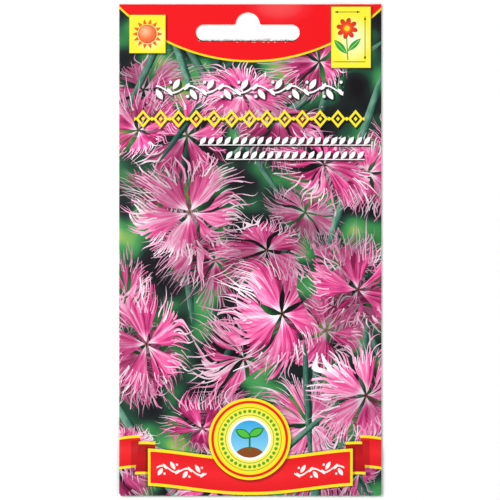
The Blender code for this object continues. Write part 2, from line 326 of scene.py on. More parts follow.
add_slots(paper)
thickness = paper.modifiers.new("thickness", "SOLIDIFY")
thickness.thickness = PAPER
thickness.offset = 0.0
thickness.use_even_offset = True
thickness.material_offset = BARE
thickness.material_offset_rim = BARE
for cutter in (punch, tear):
    cut = paper.modifiers.new(cutter.name, "BOOLEAN")
    cut.operation = "DIFFERENCE"
    cut.solver = "EXACT"
    cut.object = cutter
applied(paper)
for cutter in (punch, tear):
    bpy.data.objects.remove(cutter)
paper.data.shade_smooth()
paper.data.set_sharp_from_angle(angle=math.radians(35))
print(f"folded paper: {len(paper.data.polygons)} faces")

# %% [markdown]
# ## A map for the print
# The print's colours can be baked onto a square map. The front carries nearly all the
# detail, so it gets the largest part of the square, the back gets a smaller part, and the bare inside only
# a corner.

# %% Lay out the map
MAP_PARTS = {
    FRONT_PRINT: (0.003, 0.003, 0.994), BACK_PRINT: (0.545, 0.003, 0.75),
    BARE: (0.56, 0.77, 0.2), BARE_BACK: (0.72, 0.77, 0.2),
}


def read_all(items, name, kind, width=1):
    """One property of all the items, as an array."""
    values = np.empty(len(items) * width, kind)
    items.foreach_get(name, values)
    return values


def lay_out_map(thing):
    """Gives each slot's faces their own part of the square. Bare faces lean, so cut edges have a width."""
    mesh = thing.data
    layer = mesh.uv_layers.new(name="OFBake")
    vertex = read_all(mesh.loops, "vertex_index", np.int32)
    where = read_all(mesh.vertices, "co", np.float32, 3).reshape(-1, 3)[vertex]
    sides = read_all(mesh.polygons, "loop_total", np.int32)
    slot = np.repeat(read_all(mesh.polygons, "material_index", np.int32), sides)
    x, y, z = (where[:, i] for i in range(3))
    across, up = (x + WIDTH / 2) / HEIGHT, (y + HEIGHT / 2) / HEIGHT
    place = np.zeros((len(x), 2), np.float32)
    for index, (corner_u, corner_v, scale) in MAP_PARTS.items():
        mine = slot == index
        lean = z / HEIGHT * 4 if index >= BARE else 0 * z
        place[mine, 0] = (corner_u + (across + lean) * scale)[mine]
        place[mine, 1] = (corner_v + (up + lean) * scale)[mine]
    layer.data.foreach_set("uv", place.ravel())
    return place


layout = lay_out_map(paper)
print(f"map runs from {layout.min(0).round(3)} to {layout.max(0).round(3)}")

# %% [markdown]
# ## Shader maths as Python
# The whole print is maths on a point's place, as a real one is ink on a flat sheet. Written node by node
# that would fill pages, so one small class wraps a socket and lets Python's own signs add the Math nodes,
# and one method adds any other node. Each value in the print below is then a line that can be read.

# %% A socket with Python's signs


def set_stops(ramp, stops):
    """Gives a colour ramp its (position, colour) stops."""
    while len(ramp.elements) < len(stops):
        ramp.elements.new(0.5)
    for element, (position, colour) in zip(ramp.elements, stops):
        element.position = position
        element.color = colour


class Ink:
    """A value that changes over a surface: an output socket, with Python's operators."""

    def __init__(self, tree, socket):
        self.tree = tree
        self.socket = socket

    def node(self, kind, settings=None, **values):
        """Adds a node and returns it: its settings first, then its sockets' values or links."""
        made = self.tree.nodes.new("ShaderNode" + kind)
        for name, value in (settings or {}).items():
            if name == "stops":
                set_stops(made.color_ramp, value)
            else:
                setattr(made, name, value)
        for key, value in values.items():
            place = int(key[1:]) if key[0] == "_" else key.replace("_", " ")
            if isinstance(value, Ink):
                self.tree.links.new(value.socket, made.inputs[place])
            else:
                made.inputs[place].default_value = value
        return made

    def math(self, operation, *values):
        numbered = {f"_{i}": value for i, value in enumerate(values)}
        return Ink(self.tree, self.node("Math", {"operation": operation}, **numbered).outputs[0])

    def vector(self, operation, *values, out="Vector"):
        numbered = {f"_{i}": value for i, value in enumerate(values)}
        return Ink(self.tree, self.node("VectorMath", {"operation": operation}, **numbered).outputs[out])

    def __add__(self, other):
        return self.math("ADD", self, other)

    def __radd__(self, other):
        return self.math("ADD", other, self)

    def __sub__(self, other):
        return self.math("SUBTRACT", self, other)

    def __rsub__(self, other):
        return self.math("SUBTRACT", other, self)

    def __mul__(self, other):
        return self.math("MULTIPLY", self, other)

    def __rmul__(self, other):
        return self.math("MULTIPLY", other, self)

    def __truediv__(self, other):
        return self.math("DIVIDE", self, other)

    def __rtruediv__(self, other):
        return self.math("DIVIDE", other, self)

    def __lt__(self, other):
        return self.math("LESS_THAN", self, other)

    def __gt__(self, other):
        return self.math("GREATER_THAN", self, other)

    def __abs__(self):
        return self.math("ABSOLUTE", self)

    def ramp(self, start, stop, low=0.0, high=1.0):
        """Moves smoothly from low to high as this goes from start to stop."""
        smooth = {"interpolation_type": "SMOOTHSTEP"}
        made = self.node("MapRange", smooth, _0=self, _1=start, _2=stop, _3=low, _4=high)
        return Ink(self.tree, made.outputs[0])

    def between(self, low, high):
        """Moves evenly from low to high as this goes from 0 to 1."""
        return self * (high - low) + low

    def split(self):
        made = self.node("SeparateXYZ", _0=self)
        return [Ink(self.tree, out) for out in made.outputs]


print("besides Python's signs, an ink has", [name for name in vars(Ink) if not name.startswith("_")])

# %% [markdown]
# A mask is 1 where a shape is and 0 elsewhere, so masks meet by multiplying and join by taking the larger
# one.

# %% Masks together


def both(*masks):
    """Where all the masks are 1."""
    result = masks[0]
    for mask in masks[1:]:
        result = result * mask
    return result


def either(*masks):
    """Where any of the masks is 1."""
    result = masks[0]
    for mask in masks[1:]:
        result = result.math("MAXIMUM", result, mask)
    return result


print("masks can meet and join")

# %% [markdown]
# Inks are named by the numbers that a designer would read off a screen, and turned into the linear values
# that Blender mixes with. Colours are laid over each other as in printing: a mask of 1 shows the upper ink.

# %% Colours and layers of ink


def ink(code):
    """A colour from its six-digit screen code, in linear light."""
    parts = [int(code[i:i + 2], 16) / 255 for i in (0, 2, 4)]
    return (*[part / 12.92 if part <= 0.04045 else ((part + 0.055) / 1.055) ** 2.4 for part in parts], 1.0)


BLACK = (0.0, 0.0, 0.0, 1.0)


def over(mask, upper, lower):
    """The upper colour where the mask is 1, on the lower one."""
    made = mask.node("Mix", {"data_type": "RGBA"}, _0=mask, _6=lower, _7=upper)
    return Ink(mask.tree, made.outputs[2])


def dimmed(colour, amount):
    """The colour times an amount, which is a number or changes over the surface."""
    made = colour.node("Mix", {"data_type": "RGBA", "clamp_factor": False}, _0=amount, _6=BLACK, _7=colour)
    return Ink(colour.tree, made.outputs[2])


def along(value, *stops):
    """A colour that runs through (position, screen code) stops as the value goes from 0 to 1."""
    linear = [(position, ink(code)) for position, code in stops]
    return Ink(value.tree, value.node("ValToRGB", {"stops": linear}, _0=value).outputs[0])


def spot(x, y, z):
    """A place from three values or numbers."""
    source = next(value for value in (x, y, z) if isinstance(value, Ink))
    made = source.node("CombineXYZ", _0=x, _1=y, _2=z)
    return Ink(source.tree, made.outputs[0])


def noise(place, scale, detail=1.0, out="Fac"):
    made = place.node("TexNoise", Vector=place, Scale=scale, Detail=detail)
    return Ink(place.tree, made.outputs[out])


def chance(x, y, z):
    """Three random numbers that stay the same wherever these three numbers are the same."""
    place = spot(x, y, z)
    made = place.node("TexWhiteNoise", {"noise_dimensions": "3D"}, Vector=place)
    return Ink(place.tree, made.outputs["Color"]).split()


print("red ink in linear light:", [round(part, 3) for part in ink("F01C24")[:3]])

# %% [markdown]
# A long print makes a big tree, and Blender slows down as one tree grows. So each part of the print is
# built in a node group of its own, which takes the point's place and gives back colours. The place is (x,
# y, 1) in millimetres, because a frame's u is then a single dot product.

# %% Finishes and groups


def new_finish(name):
    """A material, its shader, and the place of each point as x, y and z in millimetres."""
    finish = bpy.data.materials.new(name)
    finish.use_nodes = True
    tree = finish.node_tree
    source = tree.nodes.new("ShaderNodeTexCoord")
    metres = Ink(tree, source.outputs["Object"])
    made = metres.node("VectorMath", {"operation": "SCALE"}, _0=metres, Scale=1 / MM)
    return finish, tree.nodes["Principled BSDF"], Ink(tree, made.outputs[0])


def feed(shader, **inks):
    """Links inks to the shader's sockets by name."""
    for name, value in inks.items():
        value.tree.links.new(value.socket, shader.inputs[name.replace("_", " ")])


def grouped(name, build, place, *colours):
    """Builds a part of the print in its own group, and returns what it gives as inks of the place's tree."""
    group = bpy.data.node_groups.new(name, "ShaderNodeTree")
    group.interface.new_socket("Place", in_out="INPUT", socket_type="NodeSocketVector")
    for i in range(len(colours)):
        group.interface.new_socket(f"Under {i}", in_out="INPUT", socket_type="NodeSocketColor")
    entry = group.nodes.new("NodeGroupInput")
    results = build(*[Ink(group, entry.outputs[i]) for i in range(1 + len(colours))])
    results = results if isinstance(results, (list, tuple)) else [results]
    for i, result in enumerate(results):
        kind = "NodeSocketColor" if result.socket.type == "RGBA" else "NodeSocketFloat"
        group.interface.new_socket(f"Result {i}", in_out="OUTPUT", socket_type=kind)
    leave = group.nodes.new("NodeGroupOutput")
    for i, result in enumerate(results):
        group.links.new(result.socket, leave.inputs[i])
    user = place.tree.nodes.new("ShaderNodeGroup")
    user.node_tree = group
    for i, value in enumerate((place, *colours)):
        place.tree.links.new(value.socket, user.inputs[i])
    print(f"  {name}: {len(group.nodes)} nodes")
    return [Ink(place.tree, out) for out in user.outputs]


print("finishes and groups are ready")

# %% [markdown]
# ## The front: a bed of fringed pinks
# The front is a picture, printed edge to edge. An image file would be the short way, but the picture here
# is drawn by maths, so it stays sharp at any size. The back of the picture is out-of-focus green. Long
# leaves and stems lie on it, and then the flowers, in layers. A flower is drawn in its own round frame,
# where its rim is at 1.

# %% Frames for leaves and flowers


def framed(place, x, y, half_width=1.0, half_height=1.0, turn=0.0):
    """The point's u and v in a frame of its own, whose edges are at -1 and 1. Without sizes they are mm."""
    cosine, sine = math.cos(math.radians(turn)), math.sin(math.radians(turn))
    across = (cosine / half_width, sine / half_width, -(x * cosine + y * sine) / half_width)
    up = (-sine / half_height, cosine / half_height, (x * sine - y * cosine) / half_height)
    return [place.vector("DOT_PRODUCT", place, way, out="Value") for way in (across, up)]


def square(u, v):
    """The squared distance from a frame's middle."""
    return u.math("MULTIPLY_ADD", u, u, v * v)


def radius(u, v):
    squared = square(u, v)
    return squared.math("SQRT", squared)


def blend(mask, upper, lower):
    """A number: the upper one where the mask is 1."""
    made = mask.node("Mix", {"data_type": "FLOAT"}, _0=mask, _2=lower, _3=upper)
    return Ink(mask.tree, made.outputs[0])


def front_frame(place, plan):
    """u, v, number and tone of the last thing in the plan that covers the point. Elsewhere u and v are 9."""
    u, v, key = 9.0, 9.0, 0.0
    for number, (x, y, half_width, half_height, turn, tone) in enumerate(plan):
        mine_u, mine_v = framed(place, x, y, half_width, half_height, turn)
        inside = square(mine_u, mine_v) < 1.0
        u, v = blend(inside, mine_u, u), blend(inside, mine_v, v)
        key = blend(inside, number + tone, key)
    number = key.math("FLOOR", key)
    return u, v, number, key - number


print("frames carry a number and a tone")

# %% [markdown]
# Out of focus, a garden is soft patches: bright green where the sun falls, nearly black between plants, and
# a yellow-green patch or two. Low noise through a ramp gives those. The leaves of a pink are long, narrow
# and blue-green, lighter along one side, so each is a long ellipse whose colour runs across it.

# %% Garden behind the flowers


def garden(place):
    broad = noise(place, 0.052, 1.6)
    small = noise(place.vector("ADD", place, (40.0, 9.0, 5.0)), 0.11, 0.0)
    return along(
        broad + (small - 0.5) * 0.5, (0.36, "0F0C12"), (0.45, "1B2423"), (0.51, "21523A"), (0.57, "388649"),
        (0.64, "4C9E5A"), (0.71, "98BC5A"), (0.80, "4A964E"))


def leaf_plan(seed, count, low, high):
    """Long leaves and stems that lean mostly one way, as (x, y, half length, half width, turn, tone)."""
    draw = random.Random(seed)
    plan = []
    for _ in range(count):
        x, y = draw.uniform(-38, 38), draw.uniform(-72, 62)
        turn = draw.choice((62, 118, 84, 40)) + draw.uniform(-14, 14)
        plan.append((x, y, draw.uniform(14, 34), draw.uniform(low, high), turn, draw.uniform(0.05, 0.95)))
    return plan


def leaves(place, under, plan, dim):
    u, v, number, tone = front_frame(place, plan)
    inside = u < 2.0
    mottle = noise(spot(u * 4.0, v * 0.5, number), 2.0, 2.0)
    streak = noise(spot(u * 0.8, v * 2.2, number * 3.0), 2.0, 1.0)
    run = v * 0.30 - v * v * 0.30 + tone * 0.35 + mottle * 0.45 + streak * 0.40 - 0.10
    colour = along(
        run, (0.10, "0B2A28"), (0.32, "24564C"), (0.52, "477F6C"), (0.70, "76A78E"), (0.92, "BBD6B6"))
    return over(inside, dimmed(colour, dim), under)


print(f"a plan of {len(leaf_plan(3, 9, 0.8, 1.9))} far leaves")

# %% [markdown]
# A fringed pink has five petals. Each is narrow at the heart, so slits of green show there, then broad, and
# then cut twice: into a few lobes, and each lobe into fine threads. In the flower's round frame the angle
# is counted in petals, and each petal in lobes and threads. A thread fills its room as far as its notch,
# then it is a slender strip that ends at its own reach. Low noise bends the angle a little more outwards,
# so the threads lean together, and a sine moves each one within its room, so it curls. The bend stays
# gentle, because a strong one would fold the angle back on itself and close the threads into rings.

# %% Cells, threads and hairs
PETALS, LOBES, THREADS = 5, 5, 15


def cells(value, count):
    """The value's cell number, kept within one turn, and how far it is from the cell's middle."""
    cell = value.math("FLOOR", value)
    return cell.math("FLOORED_MODULO", cell, float(count)), value - cell - 0.5


def wave(value, phase, size):
    """A sine of the value, with a random phase from 0 to 1."""
    turn = value + phase * 6.28
    return turn.math("SINE", turn) * size


def fringe(turned, r, number, petal_long, side):
    """Where the petal with its threads is, how pale a thread is, and how far its middle is."""
    thread, thread_side = cells(turned * THREADS, PETALS * THREADS)
    thread_long, thread_deep, thread_pale = chance(thread, number, 2.0)
    reach = thread_long.between(0.72, 1.0) * petal_long.between(0.76, 1.0) * (1.0 - side * side * 0.4)
    notch = (thread_deep - 0.5) * 0.26 - side * side * 1.1 + 0.60
    run = (r - notch) / (reach - notch)
    free = run.math("MAXIMUM", run, 0.0)
    line = thread_side + wave(r * 21.0, thread_pale, 0.15) * free
    half = run.ramp(0.0, 0.2, 0.52, 0.35) - free * 0.20
    lobe, lobe_side = cells(turned * LOBES, PETALS * LOBES)
    lobe_deep, lobe_gap, _ = chance(lobe, number, 4.0)
    cleft = r - lobe_deep.between(0.40, 0.65)
    whole = abs(lobe_side) < 0.5 - cleft.math("MAXIMUM", cleft, 0.0) * lobe_gap.between(0.10, 0.40)
    return both(abs(line) < half, r < reach, whole), thread_pale, abs(thread_side)


def hairs(theta, r, number, per_petal, key):
    """Single threads that stand loose and curl across the others."""
    hair, hair_side = cells(theta * per_petal, PETALS * per_petal)
    hair_long, way, phase = chance(hair, number, key)
    short = hair_long.between(0.60, 1.0) - r
    line = hair_side + (way - 0.5) * (r - 0.5) * 3.0 + wave(r * 14.0, phase, 0.14)
    thin = short.math("MINIMUM", short, 0.16) * 0.27
    return both(abs(line) * r < thin, r > way.between(0.36, 0.66))


print(f"{PETALS} petals, {LOBES} lobes and {THREADS} threads in each")

# %% [markdown]
# The petals take their colour from fine streaks that run out from the heart, which come from noise whose
# place is squeezed round the heart. On top come a pale heart, a pale tip to some threads, and one side of
# each petal darker than the other, because petals lie at a slant. A flower seen from one side has its heart
# off the middle of its outline, so the heart slides by a random amount, and the rim stays. Each layer also
# darkens what lies under it.

# %% Petal colours


def petal_colour(u, v, r, side, number, tone, petal_tone, petal_fold, thread_pale, vein, pale):
    streak = noise(spot(u / r * 6.0, v / r * 6.0, r * 1.6 + number * 5.0), 1.3, 2.0)
    slant = side * (petal_fold - 0.5) * 1.3 - abs(side).ramp(0.28, 0.5, 0.0, 0.22)
    tips = r.ramp(0.5, 0.95) * (thread_pale * 0.42 + pale * 0.22)
    heart = r.ramp(0.06, 0.25, 0.85, 0.0) * (streak + 0.20)
    lines = vein.ramp(0.25, 0.5, 0.0, 0.13)
    run = (streak - 0.5) * 1.5 + tone * 0.55 + petal_tone * 0.16 + slant + tips + heart - lines + 0.02
    colour = along(
        run, (0.0, "981C54"), (0.16, "D03A80"), (0.34, "EA5899"), (0.52, "F380B3"), (0.72, "F9B3D3"),
        (0.95, "FEEAF3"))
    eye = along(r * 16.0, (0.25, "2E1812"), (0.55, "B98E7E"), (0.9, "E8C9C4"))
    return over(r < 0.055, eye, colour)


print("petals run from deep pink to nearly white")

# %% One layer of flowers


def flowers(place, under, plan, dim, pale):
    u, v, number, tone = front_frame(place, plan)
    slide, way, apart = chance(number, 7.0, 3.0)
    rim = 1.0 - square(u, v)
    u, v = u + rim * (way - 0.5) * 0.35, v + rim * slide * 0.42
    r = radius(u, v)
    theta = v.math("ARCTAN2", v, u) * (PETALS / (2 * math.pi)) + number * 0.37
    lean, bend, fold = noise(spot(u, v, number * 3.7), 1.25, 0.0, "Color").split()
    outer = r.math("MAXIMUM", r - 0.3, 0.0)
    turned = theta + (lean - 0.5) * 1.0 + (bend - 0.5) * outer * 1.9
    petal, side = cells(turned, PETALS)
    petal_long, petal_tone, petal_fold = chance(petal, number, 1.0)
    limb, thread_pale, vein = fringe(turned, r, number, petal_long, side)
    broad = 0.48 - apart * 0.15 + (petal_tone - 0.5) * 0.10
    claw = r * petal_long.between(0.60, 1.20) + 0.16
    claw = abs(side) < claw.math("MINIMUM", claw, broad)
    tufts = ((theta + (bend - 0.5) * outer * 2.0, 7, 3.0), (theta + 0.4, 5, 5.0), (turned, 6, 6.0))
    loose = either(*[hairs(angle, r, number, per_petal, key) for angle, per_petal, key in tufts])
    colour = petal_colour(u, v, r, side, number, tone, petal_tone, petal_fold, thread_pale, vein, pale)
    hair_colour = along(thread_pale, (0.0, "F08ABB"), (0.5, "F9BFDB"), (1.0, "FFF3F8"))
    colour = over(both(loose, r > 0.45), hair_colour, colour)
    below = dimmed(under, r.ramp(0.25, 1.0, 0.50, 1.0))
    return over(either(both(limb, claw), loose), dimmed(colour, ((fold - 0.5) * 1.3 + 0.97) * dim), below)


print("a layer of flowers darkens what lies under it")

# %% Where the flowers stand


def flower_plan(seed, count, small, large, apart=0.70):
    """Flowers that don't crowd each other, as (x, y, half width, half height, turn, tone)."""
    draw = random.Random(seed)
    plan = []
    tries = 0
    while len(plan) < count and tries < 4000:
        tries += 1
        size = draw.uniform(small, large)
        x, y = draw.uniform(-42, 42), draw.uniform(-76, 60)
        gaps = [math.hypot(x - other[0], y - other[1]) / (size + other[2]) for other in plan]
        if all(gap > apart for gap in gaps):
            lean = draw.choice((1.0, 0.90, 0.76, 0.62))
            plan.append((x, y, size, size * lean, draw.uniform(0, 180), draw.uniform(0.1, 0.9)))
    return plan


front_flowers = [
    (-19, 14, 22.5, 19.5, 20, 0.80), (21, 23, 21.5, 14.5, 150, 0.35), (4, -20, 23.5, 21.0, 75, 0.55),
    (34, -7, 20.5, 19.0, 10, 0.25), (-33, -27, 21.0, 17.5, 100, 0.45), (-12, -50, 20.0, 13.5, 5, 0.10),
    (30, -44, 21.0, 17.5, 60, 0.70), (-3, 47, 19.5, 11.5, 172, 0.60), (-36, 41, 17.0, 14.5, 40, 0.30),
]
print(f"{len(front_flowers)} flowers in front")

# %% [markdown]
# The bed is put together from the back: blurred garden, far leaves and flowers in shade, nearer leaves,
# flowers in half light, a few near stems, and the front flowers in full light.

# %% The whole bed
BED = (
    ("far_leaves", leaves, leaf_plan(3, 9, 0.8, 1.9), (0.7,)),
    ("far_flowers", flowers, flower_plan(21, 12, 15, 18), (0.62, 0.0)),
    ("near_leaves", leaves, leaf_plan(8, 8, 1.1, 1.8), (0.95,)),
    ("middle_flowers", flowers, flower_plan(34, 15, 16, 20, 0.62), (0.84, 0.4)),
    ("near_stems", leaves, leaf_plan(25, 5, 0.9, 1.4), (0.80,)),
    ("front_flowers", flowers, front_flowers, (1.0, 0.9)),
)


def bed(place):
    (colour,) = grouped("garden", garden, place)
    for name, draw, plan, looks in BED:
        (colour,) = grouped(name, lambda spots, under: draw(spots, under, plan, *looks), place, colour)
    return colour


print("layers from the back:", {name: len(plan) for name, _, plan, _ in BED})

# %% [markdown]
# ## The printed panels
# Over the picture lie flat shapes with crisp edges: a red header that the hang slot is punched through,
# small yellow panels with simple pictures, rows of ornament, a ribbon and a round badge. Each shape is a
# test on the point's place in a frame of its own: a disc is where the distance is under 1, and a box is
# where the larger of |u| and |v| is. All of them are gathered into one sheet of ink first: its colour,
# where it covers, and how much light its shadows leave to the picture below.

# %% Flat shapes


def disc(place, x, y, half_width, half_height=None, turn=0.0):
    """1 inside a round or oval shape."""
    return square(*framed(place, x, y, half_width, half_height or half_width, turn)) < 1.0


def box_depth(place, x, y, half_width, half_height, turn=0.0):
    """0 in the middle of a box and 1 on its edge."""
    u, v = framed(place, x, y, half_width, half_height, turn)
    return u.math("MAXIMUM", abs(u), abs(v))


def box(place, x, y, half_width, half_height, turn=0.0):
    return box_depth(place, x, y, half_width, half_height, turn) < 1.0


def repeated(value, pitch):
    """How far the value is from the nearest multiple of the pitch, and which multiple that is."""
    scaled = value / pitch
    number = value.math("ROUND", scaled)
    return value - number * pitch, number


def lay(sheet, mask, colour):
    """Puts one more ink on the sheet."""
    below, cover, light = sheet
    return over(mask, colour, below), either(cover, mask) if isinstance(cover, Ink) else mask, light


def darken(sheet, amount):
    """A shadow on all that lies below: the amount is the share of light that is left."""
    below, cover, light = sheet
    below = dimmed(below, amount) if isinstance(below, Ink) else below
    return below, cover, light * amount if isinstance(light, Ink) else amount


print("flat shapes: disc and box")

# %% [markdown]
# The header is plain red. Its lower edge is an arc, the lowest part of a large disc, with a fine yellow
# line along it, and a painted sheen makes the red lighter near the top, where the coating would mirror a
# lamp.

# %% Header
HEADER_MIDDLE = 0.2
ARC_RADIUS, ARC_LOW = 57.0, 57.9
ARC_LINE = 0.6
HEADER_SHEEN_PAINTED = (9.0, 74.6, 11.0, 6.0)


def header(place, sheet):
    depth = ARC_RADIUS - radius(*framed(place, HEADER_MIDDLE, ARC_LOW + ARC_RADIUS))
    # Painted sheen: the red is lighter in an oval near the top edge, in place of a lamp's reflection.
    glow = square(*framed(place, *HEADER_SHEEN_PAINTED))
    red = along(glow, (0.0, "F24C4F"), (0.5, "F0222B"), (1.0, "EF0F18"))
    sheet = darken(sheet, depth.ramp(-2.6, 0.0, 1.0, 0.6))
    sheet = lay(sheet, depth > -ARC_LINE, ink("F8DC1C"))
    return lay(sheet, depth > 0.0, red)


print(f"header arc is lowest {HEIGHT / MM / 2 - ARC_LOW:.1f} mm under the top edge")

# %% [markdown]
# Two small panels sit in the header's corners. The left one holds a sun, and the right one a plain flower
# between arrows for its width and height. Both have a pale glow in the middle of a yellow ground, a fine
# dark outline and a soft shadow. Leaves are pointed: a parabola on each side of the midrib.

# %% Panel and pointed leaf
PANEL_LINE = 0.13


def pointed(place, x, y, half_length, half_width, turn=0.0):
    """1 inside a leaf with two pointed ends."""
    u, v = framed(place, x, y, half_length, half_width, turn)
    return u.math("MULTIPLY_ADD", u, u, abs(v)) < 1.0


def panel(place, x, y, half_width, half_height, sheet):
    """A yellow ground with a pale glow, a fine outline and a shadow below and to the right."""
    shadow = box_depth(place, x + 0.35, y - 0.4, half_width + 0.3, half_height + 0.3)
    sheet = darken(sheet, shadow.ramp(0.95, 1.04, 0.40, 1.0))
    glow = radius(*framed(place, x + 0.6, y - 0.8, half_width * 0.95, half_height * 0.80))
    ground = along(glow, (0.0, "FFFDE6"), (0.40, "FFFAB0"), (1.0, "FBEE3C"))
    sheet = lay(sheet, box(place, x, y, half_width + PANEL_LINE, half_height + PANEL_LINE), ink("7A5A14"))
    return lay(sheet, box(place, x, y, half_width, half_height), ground)


print(f"panels have an outline of {PANEL_LINE} mm")

# %% Sun, arrows and small flower
SUN_RAYS, SMALL_PETALS = 14, 8


def sun(place, x, y, sheet):
    u, v = framed(place, x, y)
    r = radius(u, v)
    ray, _ = repeated(v.math("ARCTAN2", v, u), 2 * math.pi / SUN_RAYS)
    sheet = lay(sheet, both(abs(ray) < (4.6 - r) * 0.13, r > 3.05, r < 4.5), ink("EE6A1A"))
    light = radius(*framed(place, x - 0.6, y + 0.8, 4.4, 4.4))
    face = along(light, (0.0, "FFC79A"), (0.5, "F67A44"), (1.0, "E4421E"))
    sheet = lay(sheet, r < 2.85, ink("8E2A12"))
    return lay(sheet, r < 2.7, face)


def arrow(place, x, y, half_length, turn):
    """A fine line with a head at both ends."""
    u, v = framed(place, x, y, turn=turn)
    tip, v = half_length - abs(u), abs(v)
    return either(both(v < 0.10, tip > 0.0), both(v < tip * 0.38, tip > 0.0, tip < 1.0))


def small_flower(place, x, y, sheet):
    """Eight petals round a yellow heart, over a stem and two leaves with pale ribs."""
    stem = box(place, x, y - 5.0, 0.17, 4.6, 3)
    blades = ((-2.0, -5.6, 2.9, 1.0, -48), (2.2, -5.0, 2.8, 0.9, 44))
    green = [pointed(place, x + right, y + up, *shape) for right, up, *shape in blades]
    ribs = [box(place, x + right, y + up, length - 0.6, 0.07, turn) for right, up, length, _, turn in blades]
    sheet = lay(sheet, either(stem, either(*green)), ink("2FA23A"))
    sheet = lay(sheet, either(*ribs), ink("BFE08A"))
    u, v = framed(place, x, y)
    r = radius(u, v)
    petal, _ = repeated(v.math("ARCTAN2", v, u) + 0.2, 2 * math.pi / SMALL_PETALS)
    edge = 3.1 - petal * petal * 9.0
    sheet = lay(sheet, r < edge + 0.16, ink("7A1410"))
    sheet = lay(sheet, r < edge, along(r * 0.32, (0.1, "F8A02C"), (0.45, "EE4426"), (1.0, "D8241E")))
    sheet = lay(sheet, both(abs(petal) * r > 0.62, abs(petal) > 0.36, r < edge), ink("8E1A14"))
    return lay(sheet, r < 0.80, ink("FFD92B"))


print(f"{SUN_RAYS} rays and {SMALL_PETALS} small petals")

# %% Corner panels
SUN_PANEL = (-31.4, 65.9, 5.5, 5.8)
FLOWER_PANEL = (30.7, 64.9, 6.0, 9.3)


def corner_panels(place, sheet):
    sheet = panel(place, *SUN_PANEL, sheet)
    sheet = sun(place, *SUN_PANEL[:2], sheet)
    sheet = panel(place, *FLOWER_PANEL, sheet)
    x, y = FLOWER_PANEL[:2]
    sheet = small_flower(place, x - 1.2, y + 2.7, sheet)
    arrows = either(arrow(place, x - 1.1, y + 7.7, 3.9, 0), arrow(place, x + 4.3, y - 0.3, 6.6, 90))
    ground_line = box(place, x - 0.5, y - 7.5, 4.9, 0.10)
    return lay(sheet, either(arrows, ground_line), ink("2A2416"))


print("corner panels: sun on the left, flower and arrows on the right")

# %% [markdown]
# Below the header run four rows of plain ornament: a white vine, a yellow chain of diamonds and two fine
# rows of white leaves. Each row is one motif that repeats along x, a whole number of times, and each has a
# dark shadow below and to the right, so it reads against the flowers. A motif grows a little to make its
# shadow.

# %% Rows of ornament
ROW_SHADOW = 0.45


def vine(along_x, y, pitch, grow):
    """A wavy stem with a leaf, a smaller leaf and a berry on each side in turn."""
    turn = along_x * (math.pi / pitch)
    cell, number = repeated(along_x - pitch / 2, pitch)
    side = number.math("FLOORED_MODULO", number, 2.0) * 2.0 - 1.0
    stem = abs(y - turn.math("SINE", turn) * (0.20 * pitch)) < 0.17 + 0.09 * grow
    mine = spot(cell, y * side, 1.0)
    leaf = pointed(mine, 0.20 * pitch, 0.30 * pitch, 0.36 * pitch, 0.16 * pitch * grow, 58)
    small = pointed(mine, -0.18 * pitch, -0.16 * pitch, 0.26 * pitch, 0.11 * pitch * grow, 128)
    berry = disc(mine, -0.14 * pitch, 0.42 * pitch, 0.09 * pitch * grow)
    return either(stem, leaf, small, berry)


def chain(along_x, y, pitch, grow):
    """Diamonds with a hollow heart and dots between them."""
    cell, _ = repeated(along_x, pitch)
    depth = abs(cell) * (2.3 / pitch) + abs(y) * 0.36
    ring = both(depth < 1.0 + 0.12 * (grow - 1.0), either(depth > 0.60, depth < 0.26))
    dot, _ = repeated(along_x + pitch / 2, pitch)
    return either(ring, radius(dot, y) < 0.55 * grow)


def fine_row(along_x, y, pitch, grow):
    """Small slanted leaves over a fine line."""
    cell, _ = repeated(along_x, pitch)
    mine = spot(cell, y, 1.0)
    leaf = pointed(mine, 0.0, 0.12, 0.60 * pitch, 0.27 * pitch * grow, 52)
    return either(leaf, abs(y + 1.2) < 0.13 * grow)


def ornament_rows(x, y, sheet):
    """Each row is a motif, its middle's x and y, its pitch, half its number of repeats and its ink."""
    rows = (
        (vine, -0.2, 49.0, 5.2, 5.5, "FFFFFF"), (chain, -0.3, 40.0, 5.4, 6.5, "FFE92E"),
        (fine_row, 10.6, 33.2, 2.5, 10.5, "FFFFFF"), (fine_row, 13.6, 28.8, 2.5, 8.5, "FFFFFF"),
    )
    for motif, middle_x, middle_y, pitch, half_count, code in rows:
        inside = abs(x - middle_x) < pitch * half_count
        shadow = both(motif(x - (middle_x + ROW_SHADOW), y - (middle_y - ROW_SHADOW), pitch, 1.6), inside)
        sheet = darken(sheet, 1.0 - shadow * 0.85)
        sheet = lay(sheet, both(motif(x - middle_x, y - middle_y, pitch, 1.0), inside), ink(code))
    return sheet


print("four rows of ornament")

# %% [markdown]
# The ribbon is a red band that sags a little, with yellow edges, and folds back twice behind each end.
# Every stretch is the same band at a height of its own: the distance from its middle line over its half
# width gives both the yellow edges and the shading, so one function prints all of them, the farthest first.

# %% Ribbon
RIBBON_END, RIBBON_HALF = 31.2, 5.7
TURN_START, TURN_END, OUTER_START = 29.0, 35.2, 33.5
RIBBON_YELLOW = "FBE322"


def band(sheet, where, y, half, codes):
    """A red band with yellow edges, where the mask is 1."""
    depth = abs(y) / half
    sheet = lay(sheet, both(where, depth < 1.0), ink(RIBBON_YELLOW))
    return lay(sheet, both(where, depth < 0.84), along(depth, (0.0, codes[0]), (0.8, codes[1])))


